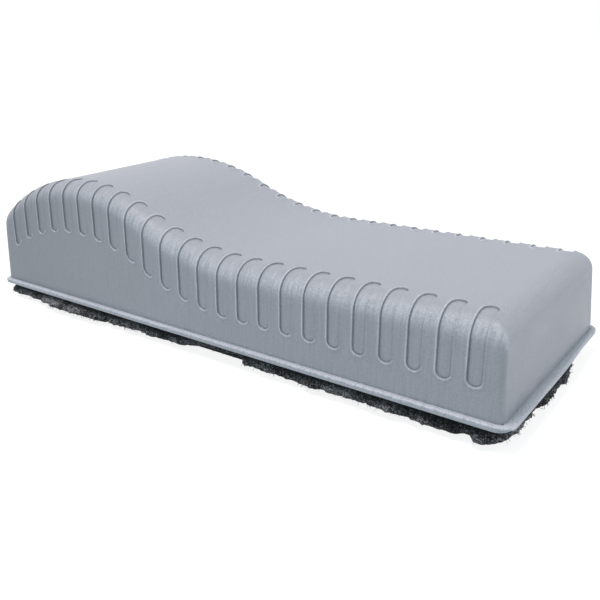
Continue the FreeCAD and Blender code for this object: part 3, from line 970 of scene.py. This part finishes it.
@dataclass
class FeltPad:
    """The pad of felt under the handle, with its ragged, lumpy edge.

    Pairs and fours called after a part of the edge say at which shares of the pad's
    thickness it starts and is full, and where it fades and ends.
    """

    length: float
    width: float
    thickness: float
    corner: float = 5.5
    crisp_corner: float = 2.6
    worn_corner: float = 17.0
    hold: float = 4.0      # width of the edge that is not flat
    held_flat: float = 0.5  # its innermost part, flat all the same
    step: float = 0.4
    band_rows: int = 10
    seed: int = 7
    noise_shift: Pair = (3.1, 7.7)
    noise_layers: tuple[float, float, int] = (0.8, 2.1, 3)
    foot_tuck: float = 1.5
    foot: Pair = (-0.1, 0.4)
    top_tuck: float = 1.3
    top: Pair = (0.55, 0.8)
    bulge: float = 0.25
    bulge_at: Four = (0.1, 0.4, 0.55, 0.9)
    # shares of the thickness where the painted shade under the flange starts and is full
    shade_ends: Pair = (0.55, 0.76)
    belly_rise: float = 0.2  # how much higher bulge and chalk reach on a belly, which stands out of the painted shade
    belly_fill: float = 0.6  # how much of the tuck at the top a belly fills
    lumps_loss: float = 0.75
    lumps_fade: Pair = (0.3, 0.95)
    tufts: tuple[Pair, ...] = ((0.4, 4.0), (0.45, 1.2))  # height, breadth
    tufts_fade: Pair = (0.7, 1.0)
    edge_lift: float = 0.5
    worn_lift: float = 0.45
    nap: Pair = (0.2, 0.9)
    face_nap: Pair = (0.06, 0.8)
    front_lumps: tuple[EdgeLump, ...] = (
        EdgeLump(-59.0, -55.0, 0.6), EdgeLump(-49.0, -33.0, 1.2, 5.0, 4.0),
        EdgeLump(-29.8, -29.0, -0.8, 0.6, 0.6), EdgeLump(-27.6, -25.4, 0.8, 0.5, 0.6),
        EdgeLump(-14.0, -11.0, 0.4), EdgeLump(3.5, 13.4, -1.8, 9.0, 2.2),
        EdgeLump(30.0, 33.0, 0.5, 3.0, 1.0), EdgeLump(47.0, 53.0, 0.3),
        EdgeLump(56.0, 62.0, 0.5), EdgeLump(64.0, 65.5, -0.3, 1.0, 0.6),
        EdgeLump(67.4, 72.0, 1.5, 2.0))
    end_lumps: tuple[EdgeLump, ...] = (
        EdgeLump(-34.0, -27.5, 0.9, 1.0, 2.0), EdgeLump(-22.0, -9.0, 0.3, 2.0, 4.0),
        EdgeLump(-6.0, 6.0, 1.1, 5.0, 4.0), EdgeLump(3.0, 5.0, 0.3, 1.0, 1.0))
    bellies: tuple[EdgeLump, ...] = (
        EdgeLump(-53.5, -46.0, 1.0, 3.0, 2.0), EdgeLump(-43.0, -33.0, 0.7, 2.0, 3.0),
        EdgeLump(-22.0, -19.0, 0.5), EdgeLump(18.0, 22.0, 0.5),
        EdgeLump(34.0, 37.0, 0.5), EdgeLump(41.0, 50.0, 0.4))
    belly_side: Pair = (15.0, 20.0)

    def place(self, x: float, y: float) -> Vector:
        """Place a point of the wiping face, its corners rounded.

        Args:
            x: place along the pad, before its corners are rounded.
            y: place across the pad.

        Returns:
            The point.
        """
        gap = min(self.length / 2 - abs(x), self.width / 2 - abs(y))
        radius = self.crisp_corner if x < 0 else self.worn_corner if y > 0 else self.corner
        radius *= max(0.0, 1 - gap / (2 * radius))
        px, py = round_corner(x, y, self.length / 2 - gap, self.width / 2 - gap, radius)
        return Vector((px, py, 0.0))

    def lump(self, point: Vector, breadth: float) -> float:
        """Noise between about -1 and 1, with features of the given breadth."""
        shift = Vector((self.seed, *self.noise_shift))
        return noise.fractal(point / breadth + shift, *self.noise_layers)

    def outward(self, x: float, y: float) -> Vector:
        """Level way from the pad's flat middle out to a place, longest at the pad's edge."""
        flat_x, flat_y = self.length / 2 - self.hold, self.width / 2 - self.hold
        return Vector((x - max(-flat_x, min(flat_x, x)), y - max(-flat_y, min(flat_y, y)), 0.0))

    def worn(self, x: float, y: float) -> float:
        """How far the edge stands out near a place, by the lumps along its sides."""
        way, front, end = self.outward(x, y).normalized(), self.front_lumps, self.end_lumps
        return stand(front, x) * max(0.0, -way.y) + stand(end, y) * max(0.0, way.x) ** 2

    def belly(self, x: float, y: float) -> float:
        """How far the middle of the front edge swells out near a place."""
        return stand(self.bellies, x) * ramp(-y, *self.belly_side)

    def chalk_and_shade(self, point: Vector) -> float:
        """How chalky the felt looks at a point, with painted shade: black near the top, where the
        handle's flange shades it, and more chalk higher up on a belly that stands out into the
        light.
        """
        rise, (start, end) = self.belly_rise * self.belly(point.x, point.y), self.shade_ends
        return (1 + rise) * (1 - ramp(point.z / self.thickness, start + rise, end + rise))

    def rough(self, point: Vector) -> Vector:
        """Move one point of the pad by the felt's lumps.

        Args:
            point: the point on the plain pad.

        Returns:
            Its new place.
        """
        x, y, z = point
        up = z / self.thickness
        out = self.outward(x, y)
        near = ramp(out.length, self.held_flat, self.hold)
        if near == 0.0:
            high, broad = self.face_nap
            return point + Vector((0, 0, high * abs(self.lump(point, broad)) * (1 - up)))
        belly, worn = self.belly(x, y), self.worn(x, y)
        full, fade = self.bulge_at[1:3]
        bulge = (self.bulge + belly) * hill(
            up, self.bulge_at[0], full, fade + self.belly_rise * belly, self.bulge_at[3])
        tuck = self.foot_tuck * (1 - ramp(up, *self.foot))
        tuck += self.top_tuck * ramp(up, *self.top) * (1 - self.belly_fill * min(1.0, belly))
        standing = worn * (1 - self.lumps_loss * ramp(up, *self.lumps_fade))
        shaggy = sum(high * self.lump(point, broad) for high, broad in self.tufts)
        shaggy *= 1 - ramp(up, *self.tufts_fade)
        moved = point + out.normalized() * (bulge - tuck + standing + shaggy) * near
        lift = self.edge_lift * near * near + self.worn_lift * max(0.0, -worn)
        high, broad = self.nap
        moved.z += lift * (1 - up) ** 2 + high * abs(self.lump(point, broad)) * (1 - up)
        return moved

    def build(self) -> Object:
        """Lay the wiping face, raise its edge, close the top and roughen it all.

        Returns:
            The pad, not dressed yet.
        """
        bm = bmesh.new()
        across, along = round(self.length / self.step), round(self.width / self.step)
        lay_grid(bm, across + 1, along + 1, lambda i, j: self.place(
            (i / across - 0.5) * self.length, (j / along - 0.5) * self.width))
        edge = [e for e in bm.edges if e.is_boundary]
        for _ in range(self.band_rows):
            fresh, edge = pull_edges(bm, edge)
            bmesh.ops.translate(bm, vec=(0, 0, self.thickness / self.band_rows), verts=fresh)
        bmesh.ops.edgeloop_fill(bm, edges=edge)
        bmesh.ops.recalc_face_normals(bm, faces=bm.faces)
        # Chalk and painted shade: the felt's top stays black where the flange shades it.
        layer = bm.verts.layers.float.new("chalk_and_shade")
        for vert in bm.verts:
            vert[layer] = self.chalk_and_shade(vert.co)
            vert.co = self.rough(vert.co)
        return hand_over(bm, "felt_cloth")

    def dress(self) -> Object:
        """Build the pad in its felt, in place of the plain pad.

        Returns:
            The dressed piece.
        """
        pad = self.build()
        finish_piece(pad, Finish.FELT, NeedledFelt("needled_wool_felt").build())
        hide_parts("felt_pad")
        return pad


@dataclass
class FeltFuzz:
    """Loose fibres that lie on the cut edge of the felt.

    A real one is 0.03 mm thick, too fine to show, so they are drawn thicker.
    """

    pad: FeltPad
    count: int = 1500
    thickness: float = 0.045
    joints: int = 4
    bends: tuple[float, ...] = (0.2, 0.4, 0.6)
    lengths: Pair = (0.09, 0.2)
    heights: Pair = (0.3, 0.55)
    sink: float = 0.06
    lowest: float = 0.03
    seed: int = 11

    def strand(self, bend: float) -> Mesh:
        """Make one curved fibre of unit length that starts at the origin.

        Args:
            bend: turn in radians at each of its joints.

        Returns:
            Its mesh.
        """
        bm = bmesh.new()
        ring = bmesh.ops.create_circle(bm, segments=3, radius=self.thickness)["verts"]
        edges = list({edge for vert in ring for edge in vert.link_edges})
        aim = Vector((0, 0, 1))
        for _ in range(self.joints):
            fresh, edges = pull_edges(bm, edges)
            middle = sum((v.co for v in fresh), Vector()) / len(fresh)
            turn = Matrix.Rotation(bend, 3, "X")
            aim = turn @ aim
            bmesh.ops.rotate(bm, cent=middle, matrix=turn, verts=fresh)
            bmesh.ops.translate(bm, vec=aim / self.joints, verts=fresh)
        bmesh.ops.holes_fill(bm, edges=[e for e in bm.edges if e.is_boundary], sides=3)
        bmesh.ops.recalc_face_normals(bm, faces=bm.faces)
        mesh = bpy.data.meshes.new("strand")
        bm.to_mesh(mesh)
        bm.free()
        return mesh

    def build(self) -> Object:
        """Scatter the fibres round the pad's edge.

        Returns:
            All of them as one piece, not dressed yet.
        """
        dice = random.Random(self.seed)
        bm = bmesh.new()
        models = [self.strand(bend) for bend in self.bends]
        half_x, half_y = self.pad.length / 2, self.pad.width / 2
        for _ in range(self.count):
            way, sign = dice.uniform(0, 2 * (half_x + half_y)), dice.choice((-1, 1))
            side = way < 2 * half_x
            flat = Vector((way - half_x, sign * half_y, 0)) if side else Vector(
                (sign * half_x, way - 2 * half_x - half_y, 0))
            up = self.pad.thickness * dice.uniform(*self.heights)
            spot = self.pad.rough(self.pad.place(flat.x, flat.y) + Vector((0, 0, up)))
            outward = self.pad.outward(flat.x, flat.y).normalized()
            aim = Vector((dice.gauss(0, 1), dice.gauss(0, 1), dice.gauss(0, 0.4)))
            aim -= outward * aim.dot(outward)
            spot -= outward * self.sink
            turn = aim.to_track_quat("Z", "X").to_matrix().to_4x4()
            size = (1, 1, dice.uniform(*self.lengths), 1)
            where = Matrix.Translation(spot) @ turn @ Matrix.Rotation(
                dice.uniform(0, 2 * math.pi), 4, "Z") @ Matrix.Diagonal(size)
            mesh = dice.choice(models)
            mesh.transform(where)
            bm.from_mesh(mesh)
            mesh.transform(where.inverted())
        layer = bm.verts.layers.float.new("chalk_and_shade")
        for vert in bm.verts:
            vert.co.z = max(self.lowest, vert.co.z)
            vert[layer] = 1.0
        for mesh in models:
            bpy.data.meshes.remove(mesh)
        return hand_over(bm, "felt_fuzz")

    def dress(self) -> Object:
        """Build the fibres in a felt that is paler than the pad's.

        Returns:
            The dressed piece.
        """
        fibre = NeedledFelt("loose_wool_fibre", ground="#4C4E54", fibre="#B4B6BB").build()
        fuzz = self.build()
        finish_piece(fuzz, Finish.FELT, fibre)
        return fuzz


# -------- plate and glue

@dataclass(frozen=True)
class PlainParts:
    """The plate that closes the handle and the glue under it, whose plain solids stay."""

    # The plate's paler colour is a painted highlight, so its edge under the flange is as bright as
    # the lit flange.
    plate: MouldedPlastic = MouldedPlastic("plate_polystyrene", colour="#B9BFC7", cloud="#B2B8C0")
    film: HotMelt = HotMelt("hot_melt_film")

    def dress(self) -> list[Object]:
        """Put the materials on both solids.

        Returns:
            The dressed pieces.
        """
        kept = {"base_plate": self.plate.build(), "adhesive_film": self.film.build()}
        for node, material in kept.items():
            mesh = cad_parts[node].data
            mesh.materials.clear()
            mesh.materials.append(material)
        return [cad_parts[node] for node in kept]


# -------- studio

@dataclass(frozen=True)
class SoftLamp:
    """One square soft lamp: degrees from +X and above the floor, metres, watts."""

    name: str
    azimuth: float
    elevation: float
    away: float
    size: float
    strength: float
    colour: str

    def hang(self) -> None:
        """Hang the lamp so that it faces the eraser."""
        data = bpy.data.lights.new(self.name, "AREA")
        data.shape, data.size, data.energy = "SQUARE", self.size, self.strength
        data.color = linear(self.colour)[:3]
        lamp = bpy.data.objects.new(self.name, data)
        a, e = math.radians(self.azimuth), math.radians(self.elevation)
        way = Vector((math.cos(a) * math.cos(e), math.sin(a) * math.cos(e), math.sin(e)))
        where = way * self.away
        turn = (-where).to_track_quat("-Z", "Y").to_matrix().to_4x4()
        lamp.matrix_world = Matrix.Translation(where) @ turn
        bpy.context.scene.collection.objects.link(lamp)


@dataclass(frozen=True)
class Studio:
    """Pale floor, soft lamps and the camera."""

    eye: Triple = (106.885, -123.738, 66.906)
    look_at: Triple = (-117.659, 167.502, -73.776)
    tilt: float = -0.0359
    lens: float = 42.46
    sensor: float = 36.0
    clip: Pair = (0.01, 10.0)
    floor_half: float = 2000.0
    card: str = "#C4C7CB"        # the floor, as it lights the eraser
    card_in_view: str = "#959595"  # the share of it that takes the shadow in view
    card_glow: float = 0.86
    room: str = "#E5FCFF"
    room_strength: float = 0.4794
    lamps: tuple[SoftLamp, ...] = (
        SoftLamp("ceiling", 225.0, 76.0, away=2.4, size=0.9, strength=35.5, colour="#FFF0F3"),
        SoftLamp("right_screen", 30.0, 10.0, away=2.4, size=1.2, strength=12.0, colour="#FFE8EF"))

    def camera(self) -> None:
        """Set up the camera."""
        eye, look_at = Vector(self.eye) * MM, Vector(self.look_at) * MM
        forward = (look_at - eye).normalized()
        right = forward.cross(Vector((0, 0, 1))).normalized()
        up = right.cross(forward)
        cos, sin = math.cos(self.tilt), math.sin(self.tilt)
        x_axis = right * cos + up * sin
        y_axis = up * cos - right * sin
        data = bpy.data.cameras.new("camera")
        data.sensor_width, data.lens = self.sensor, self.lens
        data.clip_start, data.clip_end = self.clip
        camera = bpy.data.objects.new("camera", data)
        turn = Matrix((x_axis, y_axis, -forward)).transposed().to_4x4()
        camera.matrix_world = Matrix.Translation(eye) @ turn
        bpy.context.scene.collection.objects.link(camera)
        bpy.context.scene.camera = camera

    def floor(self) -> None:
        """Lay the floor: matt card that glows almost white in view and keeps the shadow."""
        bm = bmesh.new()
        bmesh.ops.create_grid(bm, x_segments=1, y_segments=1, size=self.floor_half)
        floor = hand_over(bm, "floor", smooth=False)
        material = bpy.data.materials.new("pale_floor")
        tree = fresh_tree(material)
        card = add_node(tree, "ShaderNodeBsdfDiffuse", {"Color": linear(self.card)})
        thin = add_node(tree, "ShaderNodeBsdfDiffuse", {"Color": linear(self.card_in_view)})
        glow = add_node(tree, "ShaderNodeEmission", {
            "Color": linear("#FFFFFF"), "Strength": self.card_glow})
        seen = add_node(tree, "ShaderNodeAddShader", {0: thin, 1: glow})
        mixed = add_node(tree, "ShaderNodeMixShader", {0: straight_rays(tree), 1: card, 2: seen})
        add_node(tree, "ShaderNodeOutputMaterial", {"Surface": mixed})
        floor.data.materials.append(material)

    def light(self) -> None:
        """Hang the lamps and fill the room with even light, white where it is in view."""
        for lamp in self.lamps:
            lamp.hang()
        world = bpy.data.worlds.new("room")
        tree = fresh_tree(world)
        room = add_node(tree, "ShaderNodeBackground", {
            "Color": linear(self.room), "Strength": self.room_strength})
        white = add_node(tree, "ShaderNodeBackground", {
            "Color": linear("#FFFFFF"), "Strength": 1.0})
        mixed = add_node(tree, "ShaderNodeMixShader", {0: straight_rays(tree), 1: room, 2: white})
        add_node(tree, "ShaderNodeOutputWorld", {"Surface": mixed})
        bpy.context.scene.world = world
        bpy.context.scene.view_settings.view_transform = "Standard"

    def build(self) -> None:
        """Set up camera, floor and light."""
        self.camera()
        self.floor()
        self.light()


# -------- whole eraser

def main() -> None:
    """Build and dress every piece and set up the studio."""
    Studio().build()

    low, high = (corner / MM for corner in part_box("handle_shell"))
    handle = HandleShell(length=high.x - low.x, width=high.y - low.y, underside=low.z,
                         crest_height=high.z - low.z)
    low, high = (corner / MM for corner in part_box("felt_pad"))
    felt = FeltPad(length=high.x - low.x, width=high.y - low.y, thickness=high.z - low.z)

    for piece in (handle.dress(), felt.dress(), FeltFuzz(felt).dress(), *PlainParts().dress()):
        mesh = piece.data
        log.info("%s: %d faces, %s", piece.name, len(mesh.polygons), mesh.materials[0].name)


if __name__ == "__main__":
    main()
